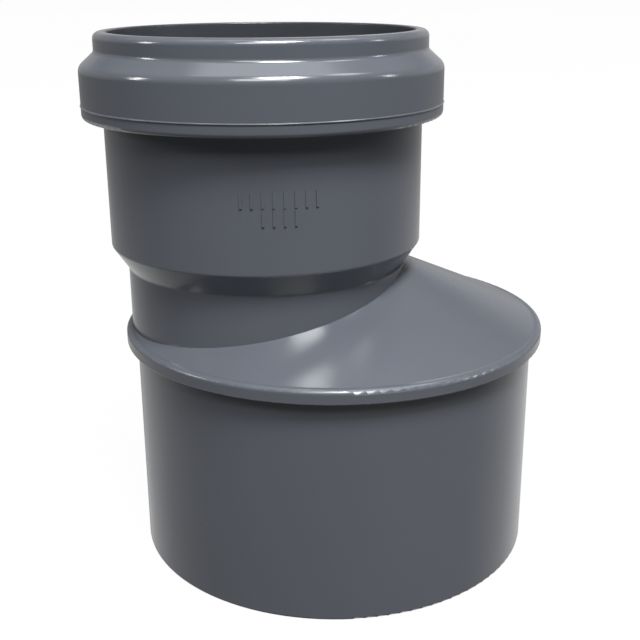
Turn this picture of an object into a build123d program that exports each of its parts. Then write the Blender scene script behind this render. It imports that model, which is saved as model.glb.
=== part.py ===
"""Eccentric reducer for push-fit waste pipe.

A plain 110 mm spigot points down. Its axis is the Z axis, and z = 0 is its open end. An oblique cone carries a
75 mm ring-seal socket that points up. The socket's axis is moved towards -X, so the walls of the two pipes line
up on that side. All lengths are in millimetres.
"""

import os
from math import degrees

from build123d import *

# Spigot, which pushes into the socket of a 110 mm pipe.
SPIGOT_RADIUS = 55.0
SPIGOT_WALL = 3.2
SPIGOT_LENGTH = 60.2
SPIGOT_TIP_ROUNDING = 0.9

# Rim that comes to rest against the larger pipe's socket.
RIM_RADIUS = 57.8
RIM_THICKNESS = 3.7
RIM_TOP_ROUNDING = 1.2
RIM_BOTTOM_ROUNDING = 0.3

# Oblique cone, from the rim's top face to an apex hidden inside the socket.
CONE_BASE_RADIUS = 55.8
CONE_APEX_X = 3.4
CONE_APEX_Z = 87.45
CONE_TOP_Z = 81.0
INNER_CONE_DROP = 3.6
INNER_CONE_TOP_Z = 78.5

# Socket, on its own axis.
SOCKET_X = -18.45
NECK_RADIUS = 37.75
NECK_WALL = 3.2
NECK_BORE_BOTTOM_Z = 58.0
NECK_BORE_RUNOUT = (1.3, 3.0)
BARREL_RADIUS = 41.9
CHAMFER_BOTTOM_Z = 81.0
CHAMFER_TOP_Z = 87.2
CHAMFER_ROUNDING = 1.0
SOCKET_BORE_RADIUS = 37.8
PIPE_STOP_Z = 86.4

# Flange at the barrel's top. The seal sits in its recess and the cap pushes over its upstand.
FLANGE_UNDERSIDE_Z = 120.4
FLANGE_ROUNDING = 1.2
BARREL_TOP_ROUNDING = 0.5
CAP_JOINT_Z = 123.4
SEAL_SEAT_Z = 123.5
UPSTAND_TOP_Z = 125.9
UPSTAND_WALL = 1.4
UPSTAND_ROUNDING = 0.3

# Seal retaining cap: collar, sloping shoulder and the socket's mouth.
COLLAR_RADIUS = 47.3
COLLAR_WALL = 2.4
COLLAR_TOP_Z = 133.4
COLLAR_TOP_ROUNDING = 2.8
MOUTH_RADIUS = 43.2
MOUTH_BASE_Z = 137.0
MOUTH_BASE_ROUNDING = 1.4
MOUTH_TOP_Z = 141.9
MOUTH_OPENING_RADIUS = 39.7
MOUTH_STRAIGHT_BOTTOM_Z = 137.2
MOUTH_OUTER_ROUNDING = 1.7
MOUTH_INNER_ROUNDING = 0.4
THROAT_RADIUS = 38.2
THROAT_TOP_Z = 135.7
CHAMBER_TOP_Z = 133.0
SKIRT_RELIEF = 0.4
CAP_REST_GAP = 0.05
CAP_RUNNING_GAP = 0.08
BEAD_PROUD = 0.2
BEAD_HEIGHT = 0.5

# Lip seal and the ring behind it.
SEAL_RADIAL_GAP = 0.2
SEAL_END_GAP = 0.1
SEAL_LIP_RADIUS = 37.6
SEAL_WIPER_RADIUS = 37.9
SEAL_GROOVE_RADIUS = 40.2
SUPPORT_INNER_RADIUS = 42.6
SUPPORT_HEIGHT = 2.8
SUPPORT_ROUNDING = 0.3

# Rows of raised bars on the front of the barrel: height of each row's middle, and number of bars.
MARK_ROWS = [(105.6, 8), (101.3, 4)]
MARK_ANGLE = -86.2
BAR_SPACING = 2.6
BAR_WIDTH = 0.6
BAR_HEIGHT = 4.0
BAR_RAISED = 0.3

OVERLAP = 0.5
RIM_TOP_Z = SPIGOT_LENGTH + RIM_THICKNESS
SPIGOT_BORE_RADIUS = SPIGOT_RADIUS - SPIGOT_WALL
NECK_BORE_RADIUS = NECK_RADIUS - NECK_WALL
CHAMBER_RADIUS = COLLAR_RADIUS - COLLAR_WALL
SKIRT_RADIUS = CHAMBER_RADIUS + SKIRT_RELIEF
UPSTAND_RADIUS = SKIRT_RADIUS - CAP_RUNNING_GAP
RECESS_RADIUS = UPSTAND_RADIUS - UPSTAND_WALL
SEAL_RADIUS = CHAMBER_RADIUS - SEAL_RADIAL_GAP
SEAL_TOP_Z = CHAMBER_TOP_Z - SEAL_END_GAP


def turned(corners, axis_x=0.0):
    """Revolve an outline about a vertical axis. Each corner is (radius, height) or (radius, height, rounding)."""
    outline = make_face(Polyline(*[corner[:2] for corner in corners], close=True))
    for radius, height, rounding in [corner for corner in corners if len(corner) == 3]:
        vertex = outline.vertices().sort_by_distance((radius, height, 0))[0]
        outline = fillet(vertex, rounding)
    return Pos(axis_x, 0, 0) * revolve(Plane.XZ * outline, Axis.Z)


def oblique_cone(base_radius, base_z, apex_z, top_z):
    """Cone standing on the spigot's axis and leaning to CONE_APEX_X, cut level at top_z."""
    risen = (top_z - base_z) / (apex_z - base_z)
    base = Pos(0, 0, base_z) * Circle(base_radius)
    top = Pos(CONE_APEX_X * risen, 0, top_z) * Circle(base_radius * (1 - risen))
    return loft([base, top], ruled=True)


def spigot_and_rim():
    return turned(
        [
            (0, 0),
            (SPIGOT_RADIUS, 0, SPIGOT_TIP_ROUNDING),
            (SPIGOT_RADIUS, SPIGOT_LENGTH),
            (RIM_RADIUS, SPIGOT_LENGTH, RIM_BOTTOM_ROUNDING),
            (RIM_RADIUS, RIM_TOP_Z, RIM_TOP_ROUNDING),
            (0, RIM_TOP_Z),
        ]
    )


def socket_outside():
    """Neck, barrel and flange."""
    return turned(
        [
            (0, RIM_TOP_Z - OVERLAP),
            (NECK_RADIUS, RIM_TOP_Z - OVERLAP),
            (NECK_RADIUS, CHAMFER_BOTTOM_Z, CHAMFER_ROUNDING),
            (BARREL_RADIUS, CHAMFER_TOP_Z, CHAMFER_ROUNDING),
            (BARREL_RADIUS, FLANGE_UNDERSIDE_Z, BARREL_TOP_ROUNDING),
            (COLLAR_RADIUS, FLANGE_UNDERSIDE_Z, FLANGE_ROUNDING),
            (COLLAR_RADIUS, CAP_JOINT_Z),
            (UPSTAND_RADIUS, CAP_JOINT_Z),
            (UPSTAND_RADIUS, UPSTAND_TOP_Z, UPSTAND_ROUNDING),
            (0, UPSTAND_TOP_Z),
        ],
        SOCKET_X,
    )


def socket_inside():
    """Neck bore, pipe stop, socket bore and the seal's recess."""
    runout_width, runout_height = NECK_BORE_RUNOUT
    return turned(
        [
            (0, NECK_BORE_BOTTOM_Z),
            (NECK_BORE_RADIUS - runout_width, NECK_BORE_BOTTOM_Z),
            (NECK_BORE_RADIUS, NECK_BORE_BOTTOM_Z + runout_height),
            (NECK_BORE_RADIUS, PIPE_STOP_Z),
            (SOCKET_BORE_RADIUS, PIPE_STOP_Z),
            (SOCKET_BORE_RADIUS, SEAL_SEAT_Z),
            (RECESS_RADIUS, SEAL_SEAT_Z),
            (RECESS_RADIUS, UPSTAND_TOP_Z + OVERLAP),
            (0, UPSTAND_TOP_Z + OVERLAP),
        ],
        SOCKET_X,
    )


def spigot_inside():
    """Spigot bore, and the cone above it that keeps the wall even under the outer cone."""
    slope = CONE_BASE_RADIUS / (CONE_APEX_Z - RIM_TOP_Z)
    apex_z = CONE_APEX_Z - INNER_CONE_DROP
    base_z = apex_z - SPIGOT_BORE_RADIUS / slope
    bore = Pos(0, 0, -OVERLAP) * extrude(Circle(SPIGOT_BORE_RADIUS), base_z + OVERLAP)
    return bore + oblique_cone(SPIGOT_BORE_RADIUS, base_z, apex_z, INNER_CONE_TOP_Z)


def raised_bars():
    """Short upright bars wrapped on the barrel, as one list for both rows."""
    reach = Pos(0, 0, CHAMFER_TOP_Z) * extrude(
        Circle(BARREL_RADIUS + BAR_RAISED), FLANGE_UNDERSIDE_Z - CHAMFER_TOP_Z
    )
    step = degrees(BAR_SPACING / BARREL_RADIUS)
    bars = []
    for row_z, count in MARK_ROWS:
        for index in range(count):
            angle = MARK_ANGLE + (index - (count - 1) / 2) * step
            bar = Box(2 * (OVERLAP + BAR_RAISED), BAR_WIDTH, BAR_HEIGHT)
            bars.append(Pos(SOCKET_X, 0, 0) * (Rot(0, 0, angle) * Pos(BARREL_RADIUS, 0, row_z) * bar & reach))
    return bars


def reducer_body():
    outside = spigot_and_rim() + oblique_cone(CONE_BASE_RADIUS, RIM_TOP_Z, CONE_APEX_Z, CONE_TOP_Z)
    outside += socket_outside()
    return outside - spigot_inside() - socket_inside() + raised_bars()


def seal_retaining_cap():
    """Collar, shoulder and mouth in one ring, with a fine bead round its lower edge."""
    bottom_z = CAP_JOINT_Z + CAP_REST_GAP
    return turned(
        [
            (SKIRT_RADIUS, bottom_z),
            (COLLAR_RADIUS, bottom_z),
            (COLLAR_RADIUS + BEAD_PROUD, bottom_z + BEAD_PROUD),
            (COLLAR_RADIUS + BEAD_PROUD, bottom_z + BEAD_HEIGHT - BEAD_PROUD),
            (COLLAR_RADIUS, bottom_z + BEAD_HEIGHT),
            (COLLAR_RADIUS, COLLAR_TOP_Z, COLLAR_TOP_ROUNDING),
            (MOUTH_RADIUS, MOUTH_BASE_Z, MOUTH_BASE_ROUNDING),
            (MOUTH_RADIUS, MOUTH_TOP_Z, MOUTH_OUTER_ROUNDING),
            (MOUTH_OPENING_RADIUS, MOUTH_TOP_Z, MOUTH_INNER_ROUNDING),
            (MOUTH_OPENING_RADIUS, MOUTH_STRAIGHT_BOTTOM_Z),
            (THROAT_RADIUS, THROAT_TOP_Z),
            (THROAT_RADIUS, CHAMBER_TOP_Z),
            (CHAMBER_RADIUS, CHAMBER_TOP_Z),
            (CHAMBER_RADIUS, UPSTAND_TOP_Z + 2 * SKIRT_RELIEF),
            (SKIRT_RADIUS, UPSTAND_TOP_Z + SKIRT_RELIEF),
        ],
        SOCKET_X,
    )


def lip_seal():
    """Rubber ring: heel in the recess, main lip pointing in and down, wiper lip at the top."""
    bottom_z = SEAL_SEAT_Z + SEAL_END_GAP
    shelf_z = SEAL_TOP_Z - SUPPORT_HEIGHT - SEAL_END_GAP
    heel_radius = RECESS_RADIUS - SEAL_RADIAL_GAP
    post_radius = SUPPORT_INNER_RADIUS - SEAL_END_GAP
    return turned(
        [
            (SEAL_LIP_RADIUS + 0.8, bottom_z),
            (heel_radius, bottom_z, 0.3),
            (heel_radius, UPSTAND_TOP_Z + SEAL_RADIAL_GAP),
            (SEAL_RADIUS, UPSTAND_TOP_Z + SEAL_RADIAL_GAP, 0.3),
            (SEAL_RADIUS, shelf_z),
            (post_radius, shelf_z),
            (post_radius, SEAL_TOP_Z, 0.4),
            (SEAL_WIPER_RADIUS + 1.3, SEAL_TOP_Z, 0.4),
            (SEAL_WIPER_RADIUS, SEAL_TOP_Z - 1.0, 0.3),
            (SEAL_GROOVE_RADIUS, SEAL_TOP_Z - 3.6, 0.6),
            (SEAL_GROOVE_RADIUS, bottom_z + 3.6, 0.6),
            (SEAL_LIP_RADIUS, bottom_z + 1.2, 0.4),
        ],
        SOCKET_X,
    )


def seal_support_ring():
    bottom_z = SEAL_TOP_Z - SUPPORT_HEIGHT
    return turned(
        [
            (SUPPORT_INNER_RADIUS, bottom_z, SUPPORT_ROUNDING),
            (SEAL_RADIUS, bottom_z, SUPPORT_ROUNDING),
            (SEAL_RADIUS, SEAL_TOP_Z, SUPPORT_ROUNDING),
            (SUPPORT_INNER_RADIUS, SEAL_TOP_Z, SUPPORT_ROUNDING),
        ],
        SOCKET_X,
    )


def main():
    os.makedirs("parts", exist_ok=True)
    for piece in (reducer_body, seal_retaining_cap, lip_seal, seal_support_ring):
        export_step(piece(), f"parts/{piece.__name__}.step")


main()
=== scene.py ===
"""Studio picture of an eccentric push-fit reducer: grey PVC mouldings, a black lip seal and a white sweep.

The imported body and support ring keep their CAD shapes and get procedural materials. The cap is rebuilt as
a finer mesh with every corner rounded, and the rubber ring with its lips relaxed, as they are before a pipe
goes in. Lengths are in metres unless a name says millimetres, and Z is up.
"""

import math

import bmesh
import bpy
from mathutils import Matrix, Vector

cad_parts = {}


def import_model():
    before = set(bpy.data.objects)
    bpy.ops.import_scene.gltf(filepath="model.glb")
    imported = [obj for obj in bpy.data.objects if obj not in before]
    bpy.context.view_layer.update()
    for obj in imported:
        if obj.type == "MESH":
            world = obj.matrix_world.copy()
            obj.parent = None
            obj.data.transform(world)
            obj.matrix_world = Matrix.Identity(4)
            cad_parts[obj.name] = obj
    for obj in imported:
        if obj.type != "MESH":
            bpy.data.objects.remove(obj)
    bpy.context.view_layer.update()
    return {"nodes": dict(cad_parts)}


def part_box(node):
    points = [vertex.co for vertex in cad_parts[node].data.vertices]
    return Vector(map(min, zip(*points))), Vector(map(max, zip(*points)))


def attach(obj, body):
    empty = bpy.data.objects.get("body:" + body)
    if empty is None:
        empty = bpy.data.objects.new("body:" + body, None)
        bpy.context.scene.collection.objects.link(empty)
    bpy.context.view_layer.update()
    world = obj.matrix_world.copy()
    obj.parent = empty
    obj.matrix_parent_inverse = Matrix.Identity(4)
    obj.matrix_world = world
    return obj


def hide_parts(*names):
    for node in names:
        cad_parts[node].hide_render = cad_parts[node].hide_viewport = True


# Camera: where it stands, where it looks, and its lens.
CAMERA_AT = (-0.02092, -0.27744, 0.15500)
CAMERA_TILT_DOWN = math.radians(18.50)
CAMERA_TURN = math.radians(3.52)
CAMERA_ROLL = math.radians(-0.37)
CAMERA_LENS_MM = 58.0
CAMERA_SENSOR_MM = 36.0
CAMERA_NEAR = 0.01

# Base colours, in linear light.
PVC_GREY = (0.070, 0.076, 0.090)
RUBBER_BLACK = (0.013, 0.013, 0.014)
SUPPORT_GREY = (0.05, 0.05, 0.053)
WHITE = (1.0, 1.0, 1.0, 1.0)

# Roughness of the PVC: polished on the socket's half of the mould, satin on the spigot and the cone.
SOCKET_GLOSS = 0.16
SPIGOT_GLOSS = 0.22
PVC_IOR = 1.52

# Scale of each pattern in the PVC, from the widest clouds to the specks of pigment, how two of them are
# stretched, and the parts of two of them that count.
CLOUD_SCALE = 26.0
RUB_SCALE = 42.0
PEEL_SCALE = 210.0
GRAIN_SCALE = 240.0
DRAW_MARK_SCALE = 420.0
PIGMENT_SCALE = 2600.0
DRAW_MARK_STRETCH = (1.0, 1.0, 0.06)
RUB_STRETCH = (9.0, 9.0, 1.2)
RUB_RANGE = (0.63, 0.78)
CLOUD_RANGE = (0.3, 0.7)

# What the patterns do to the PVC's colour: the shades that clouds run between, then (share, shade) of the
# others.
CLOUD_SHADES = (0.94, 1.06)
PIGMENT_COLOUR = (0.08, 1.45)
WORN_COLOUR = (0.30, 1.5)
# Inside the socket the grey is darkened: painted shade in that recess, not a colour of the plastic.
INSIDE_PAINTED_SHADE = (0.65, 0.2)

# What they add to its roughness.
CLOUD_ROUGHNESS = (-0.02, 0.03)
RUB_ROUGHNESS = 0.07
WORN_ROUGHNESS = 0.10
DUST_ROUGHNESS = 0.12

# What they add to its relief, and how deep the relief is.
DRAW_MARK_RELIEF = 0.35
PIGMENT_RELIEF = 0.04
RUB_RELIEF = -0.06
PVC_RELIEF_STRENGTH = 0.05
PVC_RELIEF_DEPTH = 0.0001
FINE_RELIEF_DEPTH = 0.00005

# Heights of the moulded edges that catch wear, how far the wear spreads from each, and how the grain breaks
# it up.
WORN_EDGES = (0.0005, 0.0604, 0.0633, 0.0869, 0.1208, 0.1413)
WORN_EDGE_REACH = 0.0005
WORN_GRAIN = (0.38, 0.62)
WORN_LEAST = 0.15

# The socket's axis and outside radii, which bound its polished skin, and the height of the cone's top.
SOCKET_AXIS_X = -0.01845
NECK_RADIUS = 0.03775
NECK_SKIN = 0.0005
BARREL_RADIUS = 0.0419
RIM_TOP = 0.0639
RIM_TOP_BLEND = 0.002
CONE_TOP = 0.0810
CONE_TOP_BLEND = 0.001

# The inside of the socket is within these radii, the first at the cone's top, the second at the chamfer's.
NECK_INSIDE = 0.0370
MOUTH_INSIDE = 0.0402
CHAMFER_TOP = 0.0872
INSIDE_BLEND = 0.0003

# Relaxed rubber ring: corners of its section as (radius, height above its lowest point, rounding), in mm.
RELAXED_SEAL_MM = [
    (40.6, 0.0, 0.30),
    (43.6, 0.0, 0.40),
    (43.6, 2.5, 0.25),
    (44.7, 2.5, 0.30),
    (44.7, 6.4, 0.30),
    (42.5, 6.4, 0.25),
    (42.5, 9.3, 0.50),
    (39.7, 9.3, 0.50),
    (37.1, 8.7, 0.30),
    (39.4, 7.7, 0.40),
    (40.3, 6.6, 0.40),
    (40.3, 4.9, 0.40),
    (38.6, 4.1, 0.60),
    (35.9, 1.3, 0.35),
    (36.8, 0.5, 0.30),
    (39.1, 2.0, 0.50),
]

# Cap with every corner rounded: corners as (radius, height above its lower edge, rounding), in millimetres.
CAP_MM = [
    (45.3, 0.0, 0.10),
    (47.3, 0.0, 0.05),
    (47.5, 0.2, 0.08),
    (47.5, 0.3, 0.08),
    (47.3, 0.5, 0.05),
    (47.3, 9.95, 2.80),
    (43.2, 13.55, 1.40),
    (43.2, 18.45, 1.70),
    (39.7, 18.45, 0.40),
    (39.7, 13.75, 0.40),
    (38.2, 12.25, 0.40),
    (38.2, 9.55, 0.20),
    (44.9, 9.55, 0.30),
    (44.9, 3.25, 0.20),
    (45.3, 2.85, 0.20),
]
RING_SEGMENTS = 240
ARC_STEPS = 6

# White sweep round the object: a flat floor that turns up into a wall on every side.
SWEEP_CENTRE = 0.001
SWEEP_RADIUS = 4.5
SWEEP_BEND = 1.5
SWEEP_BEND_STEPS = 12
SWEEP_WALL = 3.5
SWEEP_SEGMENTS = 96
SWEEP_WHITE = 0.97
SWEEP_WHITE_CHANGE = 0.01
SWEEP_BASE_SHADES = (0.001, 0.003)

# Brightness of the room that lights the object.
FLOOR_GLOW = 0.95
FLOOR_GLOW_IN_FRONT = 0.34
WALL_GLOW = 0.50
LEFT_SIDE_SHARE = 0.75
CEILING_GLOW_LOW = 0.02
CEILING_GLOW_HIGH = 0.22

# Where that brightness changes, in parts of a direction whose length is 1: up, to the back or to the right.
FLOOR_EDGE_UP = (-0.40, 0.02)
FLOOR_FRONT_TO_BACK = (-0.1, 0.6)
WALL_FOOT_UP = (-0.1, 0.0)
WALL_HEAD_UP = (0.25, 0.45)
WALL_FRONT_TO_BACK = (0.0, 0.4)
LEFT_TO_RIGHT = (-0.5, 0.3)
CEILING_UP = (0.3, 0.7)

# Lights: azimuth (0 on the camera's side, 90 on +X) and elevation in degrees, distance, width, height, and
# power in watts.
LIGHT_AIM = (0.0, 0.0, 0.08)
LIGHTS = {
    "key": (-2, 46, 1.0, 0.50, 0.28, 5.2),
    "glint": (14, 62, 1.0, 0.30, 0.26, 17.0),
    "overhead": (90, 86, 1.0, 0.25, 1.10, 2.3),
    "right_high": (82, 60, 1.0, 0.25, 0.25, 1.2),
    "left_strip": (-84, 24, 1.0, 0.12, 0.25, 2.0),
    "right_strip": (84, 24, 1.0, 0.10, 0.25, 1.0),
    "backlight": (174, 24, 1.5, 0.35, 0.20, 0.4),
}


def node(tree, kind, inputs=None, **settings):
    """Add a shader node, set its properties, then set or link its inputs."""
    made = tree.nodes.new(kind)
    for name, value in settings.items():
        setattr(made, name, value)
    for name, value in (inputs or {}).items():
        if isinstance(value, bpy.types.NodeSocket):
            tree.links.new(value, made.inputs[name])
        else:
            made.inputs[name].default_value = value
    return made


def math_node(tree, operation, first, second=0.0):
    return node(tree, "ShaderNodeMath", {0: first, 1: second}, operation=operation).outputs[0]


def vector_math(tree, operation, first, second=(0.0, 0.0, 0.0)):
    return node(tree, "ShaderNodeVectorMath", {0: first, 1: second}, operation=operation).outputs


def add_share(tree, total, value, share):
    """Add a share of value to total."""
    return math_node(tree, "ADD", total, math_node(tree, "MULTIPLY", value, share))


def noise(tree, place, scale, detail=3.0, roughness=0.55):
    inputs = {"Vector": place, "Scale": scale, "Detail": detail, "Roughness": roughness}
    return node(tree, "ShaderNodeTexNoise", inputs).outputs["Fac"]


def stretched(tree, place, factors):
    return node(tree, "ShaderNodeMapping", {"Vector": place, "Scale": factors}).outputs[0]


def spread(tree, value, low, high, to_low, to_high):
    """Map value from low..high to to_low..to_high, held at the ends."""
    inputs = {"Value": value, "From Min": low, "From Max": high, "To Min": to_low, "To Max": to_high}
    return node(tree, "ShaderNodeMapRange", inputs).outputs["Result"]


def mix_colour(tree, share, first, second):
    made = tree.nodes.new("ShaderNodeMix")
    made.data_type = "RGBA"
    for socket, value in ((made.inputs[0], share), (made.inputs[6], first), (made.inputs[7], second)):
        if isinstance(value, bpy.types.NodeSocket):
            tree.links.new(value, socket)
        else:
            socket.default_value = value
    return made.outputs[2]


def add_bump(tree, shader, relief, strength, depth):
    bump = node(tree, "ShaderNodeBump", {"Height": relief, "Strength": strength, "Distance": depth})
    tree.links.new(bump.outputs[0], shader.inputs["Normal"])


def new_material(name):
    material = bpy.data.materials.new(name)
    material.use_nodes = True
    tree = material.node_tree
    tree.nodes.clear()
    shader = node(tree, "ShaderNodeBsdfPrincipled")
    node(tree, "ShaderNodeOutputMaterial", {"Surface": shader.outputs[0]})
    return material, tree, shader


def object_place(tree):
    return node(tree, "ShaderNodeTexCoord").outputs["Object"]


def height_of(tree, place):
    return node(tree, "ShaderNodeSeparateXYZ", {0: place}).outputs["Z"]


def tinted(colour, factor):
    return tuple(channel * factor for channel in colour) + (1.0,)


def worn_edge_mask(tree, height, grain):
    """1 on the moulded edges, fading in and out with grain, and 0 elsewhere."""
    mask = 0.0
    for edge in WORN_EDGES:
        distance = math_node(tree, "ABSOLUTE", math_node(tree, "SUBTRACT", height, edge))
        mask = math_node(tree, "MAXIMUM", mask, spread(tree, distance, 0.0, WORN_EDGE_REACH, 1.0, 0.0))
    return math_node(tree, "MULTIPLY", mask, spread(tree, grain, *WORN_GRAIN, WORN_LEAST, 1.0))


def from_socket_axis(tree, place):
    """Distance from the socket's axis."""
    centred = vector_math(tree, "ADD", place, (-SOCKET_AXIS_X, 0.0, 0.0))[0]
    level = vector_math(tree, "MULTIPLY", centred, (1.0, 1.0, 0.0))[0]
    return vector_math(tree, "LENGTH", level)["Value"]


def socket_share(tree, place):
    """1 on the socket's neck and on all above the cone, and 0 on the cone, the rim and the spigot."""
    height = height_of(tree, place)
    near = spread(tree, from_socket_axis(tree, place), NECK_RADIUS + NECK_SKIN, BARREL_RADIUS, 1.0, 0.0)
    above_rim = spread(tree, height, RIM_TOP, RIM_TOP + RIM_TOP_BLEND, 0.0, 1.0)
    neck = math_node(tree, "MULTIPLY", near, above_rim)
    above_cone = spread(tree, height, CONE_TOP - CONE_TOP_BLEND, CONE_TOP + CONE_TOP_BLEND, 0.0, 1.0)
    return math_node(tree, "MAXIMUM", neck, above_cone)


def inside_socket(tree, place):
    """1 inside the socket, where the plastic is painted darker as shade in the recess and made rougher by
    dust from the seal, and 0 outside.
    """
    inner = spread(tree, height_of(tree, place), CONE_TOP, CHAMFER_TOP, NECK_INSIDE, MOUTH_INSIDE)
    beyond = math_node(tree, "SUBTRACT", from_socket_axis(tree, place), inner)
    return spread(tree, beyond, -INSIDE_BLEND, INSIDE_BLEND, 1.0, 0.0)


def moulded_pvc(name, seed):
    """Grey PVC-U with cloudy pigment, orange peel, faint draw marks, fine rubs, paler worn edges and
    painted shade darkening the inside of the socket.
    """
    material, tree, shader = new_material(name)
    place = object_place(tree)
    shifted = vector_math(tree, "ADD", place, (seed, seed, seed))[0]

    cloud = noise(tree, shifted, CLOUD_SCALE, detail=4.0)
    grain = noise(tree, shifted, GRAIN_SCALE, detail=4.0)
    pigment = noise(tree, shifted, PIGMENT_SCALE, detail=1.0)
    peel = noise(tree, shifted, PEEL_SCALE, detail=2.0)
    draw_marks = noise(tree, stretched(tree, shifted, DRAW_MARK_STRETCH), DRAW_MARK_SCALE, roughness=0.6)
    rubs = noise(tree, stretched(tree, shifted, RUB_STRETCH), RUB_SCALE, detail=6.0, roughness=0.7)
    rub = spread(tree, rubs, *RUB_RANGE, 0.0, 1.0)
    worn = worn_edge_mask(tree, height_of(tree, place), grain)
    # Mask for the inside of the socket: painted shade in the colour, and more roughness.
    dust_and_painted_shade = inside_socket(tree, place)

    base = mix_colour(tree, cloud, *[tinted(PVC_GREY, shade) for shade in CLOUD_SHADES])
    # Pigment specks and worn edges make the grey paler; inside the socket it is darkened as painted shade.
    for mask, (share, shade) in ((pigment, PIGMENT_COLOUR), (worn, WORN_COLOUR), (dust_and_painted_shade, INSIDE_PAINTED_SHADE)):
        base = mix_colour(tree, math_node(tree, "MULTIPLY", mask, share), base, tinted(PVC_GREY, shade))
    tree.links.new(base, shader.inputs["Base Color"])

    rough = spread(tree, socket_share(tree, place), 0.0, 1.0, SPIGOT_GLOSS, SOCKET_GLOSS)
    rough = math_node(tree, "ADD", rough, spread(tree, cloud, *CLOUD_RANGE, *CLOUD_ROUGHNESS))
    for mask, change in ((rub, RUB_ROUGHNESS), (worn, WORN_ROUGHNESS), (dust_and_painted_shade, DUST_ROUGHNESS)):
        rough = add_share(tree, rough, mask, change)
    tree.links.new(rough, shader.inputs["Roughness"])
    shader.inputs["IOR"].default_value = PVC_IOR

    relief = peel
    for mask, change in ((draw_marks, DRAW_MARK_RELIEF), (pigment, PIGMENT_RELIEF), (rub, RUB_RELIEF)):
        relief = add_share(tree, relief, mask, change)
    add_bump(tree, shader, relief, PVC_RELIEF_STRENGTH, PVC_RELIEF_DEPTH)
    return material


def seal_rubber():
    """Matt black rubber with a fine grain, a bloom of dust and a thin smear of grease."""
    material, tree, shader = new_material("seal_rubber")
    place = object_place(tree)
    bloom = noise(tree, place, 70.0, detail=5.0)
    grain = noise(tree, place, 2200.0, detail=2.0)
    smear = spread(tree, noise(tree, place, 18.0, detail=2.0), 0.45, 0.65, 0.0, 1.0)
    base = mix_colour(tree, bloom, tinted(RUBBER_BLACK, 0.8), tinted(RUBBER_BLACK, 1.6))
    tree.links.new(base, shader.inputs["Base Color"])
    tree.links.new(spread(tree, smear, 0.0, 1.0, 0.62, 0.38), shader.inputs["Roughness"])
    add_bump(tree, shader, grain, 0.25, FINE_RELIEF_DEPTH)
    return material


def hard_plastic():
    """Matt hard plastic of the support ring, with a fine spark-eroded texture."""
    material, tree, shader = new_material("support_plastic")
    place = object_place(tree)
    cloud = noise(tree, place, 60.0, detail=4.0)
    texture = noise(tree, place, 3000.0, detail=2.0)
    base = mix_colour(tree, cloud, tinted(SUPPORT_GREY, 0.85), tinted(SUPPORT_GREY, 1.2))
    tree.links.new(base, shader.inputs["Base Color"])
    tree.links.new(spread(tree, texture, 0.3, 0.7, 0.45, 0.6), shader.inputs["Roughness"])
    add_bump(tree, shader, texture, 0.2, FINE_RELIEF_DEPTH)
    return material


def sweep_white():
    """Even white that glows by itself, with a very slow change across it."""
    material, tree, shader = new_material("sweep_white")
    paper = noise(tree, object_place(tree), 3.0)
    base = mix_colour(tree, paper, *[tinted((shade, shade, shade), 1) for shade in SWEEP_BASE_SHADES])
    tree.links.new(base, shader.inputs["Base Color"])
    darkest, lightest = SWEEP_WHITE - SWEEP_WHITE_CHANGE, SWEEP_WHITE + SWEEP_WHITE_CHANGE
    tree.links.new(spread(tree, paper, 0.0, 1.0, darkest, lightest), shader.inputs["Emission Strength"])
    shader.inputs["Emission Color"].default_value = WHITE
    shader.inputs["Roughness"].default_value = 1.0
    return material


def dress(cad_object, material):
    """Give a CAD node its material and slot."""
    cad_object.data.materials.clear()
    cad_object.data.materials.append(material)


def shown(name, mesh):
    """Put a mesh in the scene as an object."""
    made = bpy.data.objects.new(name, mesh)
    bpy.context.scene.collection.objects.link(made)
    return made


def rounded_outline(corners):
    """Closed outline round (radius, height, rounding) corners, as (point, normal) pairs."""
    points = [Vector(corner[:2]) for corner in corners]
    area = sum(points[index - 1].cross(point) for index, point in enumerate(points))
    outline = []
    for index, (corner, (_, _, rounding)) in enumerate(zip(points, corners)):
        before = (points[index - 1] - corner).normalized()
        after = (points[(index + 1) % len(points)] - corner).normalized()
        half = before.angle(after) / 2
        start = corner + before * rounding / math.tan(half)
        end = corner + after * rounding / math.tan(half)
        centre = corner + (before + after).normalized() * rounding / math.sin(half)
        bulges_out = 1 if after.cross(before) * area > 0 else -1
        for step in range(ARC_STEPS + 1):
            outward = (start.lerp(end, step / ARC_STEPS) - centre).normalized()
            outline.append((centre + outward * rounding, outward * bulges_out))
    return outline


def lathed_ring(name, outline_mm, axis):
    """Closed ring made by turning an outline round the vertical axis, with exact normals."""
    shape = bmesh.new()
    loops = []
    normals = []
    for segment in range(RING_SEGMENTS):
        angle = 2 * math.pi * segment / RING_SEGMENTS
        side = Vector((math.cos(angle), math.sin(angle), 0.0))
        loop = []
        for (radius, height), (normal_out, normal_up) in outline_mm:
            loop.append(shape.verts.new(axis + (side * radius + Vector((0, 0, height))) / 1000))
            normals.append(side * normal_out + Vector((0, 0, normal_up)))
        loops.append(loop)
    for loop, following in zip(loops, loops[1:] + loops[:1]):
        for index in range(len(loop)):
            shape.faces.new((loop[index - 1], loop[index], following[index], following[index - 1]))
    bmesh.ops.recalc_face_normals(shape, faces=shape.faces[:])
    mesh = bpy.data.meshes.new(name)
    shape.to_mesh(mesh)
    shape.free()
    mesh.shade_smooth()
    mesh.normals_split_custom_set_from_vertices(normals)
    return shown(name, mesh)


def ring_in_place_of(cad_name, corners_mm, name, material, body):
    """Build a finer ring on the axis and at the foot of a CAD node, and show it instead of that node."""
    low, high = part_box(cad_name)
    axis = Vector(((low[0] + high[0]) / 2, (low[1] + high[1]) / 2, low[2]))
    ring = lathed_ring(name, rounded_outline(corners_mm), axis)
    ring.data.materials.append(material)
    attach(ring, body)
    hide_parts(cad_name)


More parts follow.
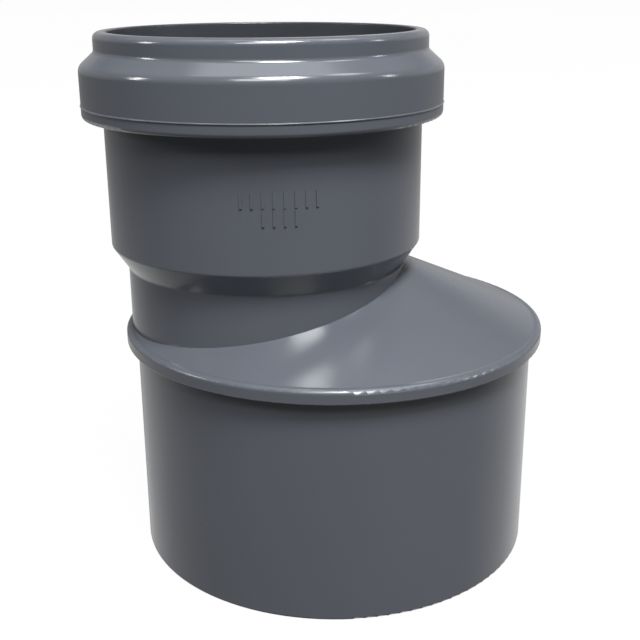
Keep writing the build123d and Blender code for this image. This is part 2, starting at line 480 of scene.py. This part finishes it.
def build_sweep():
    """White floor and wall in one turned sheet. Only the camera sees it, so it lights nothing."""
    outline = [(SWEEP_CENTRE, 0.0), (SWEEP_RADIUS, 0.0)]
    for step in range(1, SWEEP_BEND_STEPS + 1):
        angle = math.pi / 2 * step / SWEEP_BEND_STEPS
        outline.append((SWEEP_RADIUS + SWEEP_BEND * math.sin(angle), SWEEP_BEND * (1 - math.cos(angle))))
    outline.append((SWEEP_RADIUS + SWEEP_BEND, SWEEP_WALL))
    shape = bmesh.new()
    points = [shape.verts.new((radius, 0.0, height)) for radius, height in outline]
    edges = [shape.edges.new(pair) for pair in zip(points, points[1:])]
    bmesh.ops.spin(
        shape,
        geom=points + edges,
        cent=(0, 0, 0),
        axis=(0, 0, 1),
        angle=2 * math.pi,
        steps=SWEEP_SEGMENTS,
        use_merge=True,
    )
    mesh = bpy.data.meshes.new("sweep")
    shape.to_mesh(mesh)
    shape.free()
    mesh.shade_smooth()
    mesh.materials.append(sweep_white())
    sweep = shown("sweep", mesh)
    sweep.visible_diffuse = False
    sweep.visible_glossy = False
    sweep.visible_shadow = False


def build_world():
    """Light of the room: floor and wall bright behind the object, dim in front, and a dim ceiling."""
    world = bpy.data.worlds.new("studio")
    bpy.context.scene.world = world
    world.use_nodes = True
    tree = world.node_tree
    tree.nodes.clear()
    direction = node(tree, "ShaderNodeTexCoord").outputs["Generated"]
    parts = node(tree, "ShaderNodeSeparateXYZ", {0: direction}).outputs
    to_right, to_back, upward = parts["X"], parts["Y"], parts["Z"]

    in_front = spread(tree, to_back, *FLOOR_FRONT_TO_BACK, FLOOR_GLOW_IN_FRONT, 1.0)
    floor = math_node(tree, "MULTIPLY", spread(tree, upward, *FLOOR_EDGE_UP, FLOOR_GLOW, 0.0), in_front)

    wall = spread(tree, upward, *WALL_FOOT_UP, 0.0, WALL_GLOW)
    wall = math_node(tree, "MULTIPLY", wall, spread(tree, upward, *WALL_HEAD_UP, 1.0, 0.0))
    wall = math_node(tree, "MULTIPLY", wall, spread(tree, to_back, *WALL_FRONT_TO_BACK, 0.0, 1.0))

    left_share = spread(tree, to_right, *LEFT_TO_RIGHT, LEFT_SIDE_SHARE, 1.0)
    strength = math_node(tree, "MULTIPLY", math_node(tree, "ADD", floor, wall), left_share)
    ceiling = spread(tree, upward, *CEILING_UP, CEILING_GLOW_LOW, CEILING_GLOW_HIGH)
    strength = math_node(tree, "ADD", strength, ceiling)
    background = node(tree, "ShaderNodeBackground", {"Color": WHITE, "Strength": strength})
    node(tree, "ShaderNodeOutputWorld", {"Surface": background.outputs[0]})


def build_lights():
    aim = Vector(LIGHT_AIM)
    for name, (azimuth, elevation, distance, width, height, power) in LIGHTS.items():
        turn, rise = math.radians(azimuth), math.radians(elevation)
        level = math.cos(rise)
        outward = Vector((level * math.sin(turn), -level * math.cos(turn), math.sin(rise)))
        light = bpy.data.lights.new(name, "AREA")
        light.shape = "RECTANGLE"
        light.size, light.size_y = width, height
        light.energy = power
        placed = bpy.data.objects.new(name, light)
        placed.location = aim + outward * distance
        placed.rotation_euler = outward.to_track_quat("Z", "Y").to_euler()
        bpy.context.scene.collection.objects.link(placed)


def build_camera():
    camera = bpy.data.cameras.new("camera")
    camera.lens = CAMERA_LENS_MM
    camera.sensor_width = CAMERA_SENSOR_MM
    camera.clip_start = CAMERA_NEAR
    placed = bpy.data.objects.new("camera", camera)
    level = Matrix.Rotation(math.pi / 2 - CAMERA_TILT_DOWN, 4, "X")
    turn = Matrix.Rotation(-CAMERA_TURN, 4, "Z")
    roll = Matrix.Rotation(CAMERA_ROLL, 4, "Z")
    placed.matrix_world = Matrix.Translation(CAMERA_AT) @ turn @ level @ roll
    bpy.context.scene.collection.objects.link(placed)
    bpy.context.scene.camera = placed


def main():
    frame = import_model()
    nodes = frame["nodes"]
    dress(nodes["reducer_body"], moulded_pvc("body_pvc", seed=0.0))
    dress(nodes["seal_support_ring"], hard_plastic())
    cap_material = moulded_pvc("cap_pvc", seed=3.7)
    ring_in_place_of("seal_retaining_cap", CAP_MM, "rounded_cap", cap_material, "cap")
    ring_in_place_of("lip_seal", RELAXED_SEAL_MM, "relaxed_lip_seal", seal_rubber(), "seal")
    build_sweep()
    build_world()
    build_lights()
    build_camera()
    bpy.context.scene.view_settings.view_transform = "Standard"


main()
